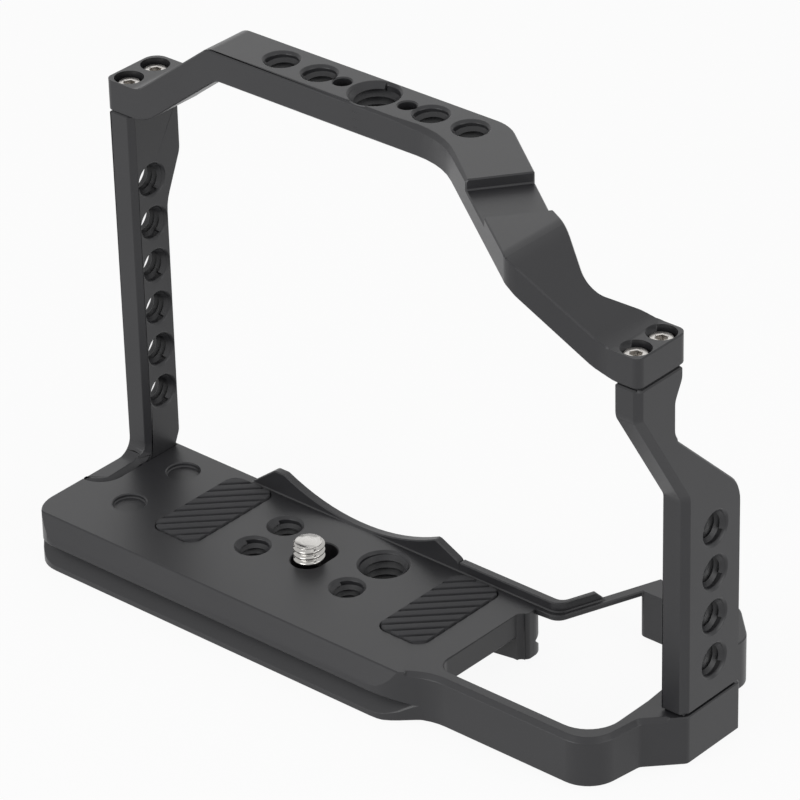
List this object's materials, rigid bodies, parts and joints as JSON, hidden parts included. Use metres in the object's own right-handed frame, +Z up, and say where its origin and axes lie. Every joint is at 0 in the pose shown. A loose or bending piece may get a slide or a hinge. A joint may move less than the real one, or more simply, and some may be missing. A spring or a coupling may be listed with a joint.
{
  "type": "camera cage",
  "caption": "Metal cage for a camera: dovetail base plate with an open battery bay, two uprights, a stepped top bar, rubber pads and a captive camera screw.",
  "frame": {"origin": "camera screw's axis at rest, on the plate's top face where the camera sits", "axes": "+X along the base towards the battery bay, +Y towards the lens side, +Z up from the base to the top bar"},
  "size_m": [0.1485, 0.0601, 0.1096],
  "materials": {
    "anodised_body": "fine bead-blasted matte black anodised",
    "screw_steel": "bright nickel-plated steel",
    "socket_steel": "satin stainless steel",
    "pad_rubber": "matte black rubber with slanted grooves"
  },
  "bodies": {
    "cage": {"base_plate": "anodised_body", "left_upright": "anodised_body", "right_upright": "anodised_body", "top_bar": "anodised_body", "pad_left": "pad_rubber", "pad_right": "pad_rubber", "top_screw_left_near": "socket_steel", "top_screw_left_far": "socket_steel", "top_screw_right_near": "socket_steel", "top_screw_right_far": "socket_steel", "foot_screw_left_near": "socket_steel", "foot_screw_left_far": "socket_steel", "foot_screw_right_near": "socket_steel", "foot_screw_right_far": "socket_steel"},
    "carriage": {"screw_washer": "screw_steel"},
    "screw": {"camera_screw": "screw_steel"}
  },
  "joints": [
    {"name": "screw_slide", "type": "slide", "parent": "cage", "child": "carriage", "axis": [0, 1, 0], "range_m": [-0.0005, 0.0033]},
    {"name": "screw_turn", "type": "hinge", "parent": "carriage", "child": "screw", "pos_m": [0, 0, 0], "axis": [0, 0, 1], "continuous": true}
  ]
}
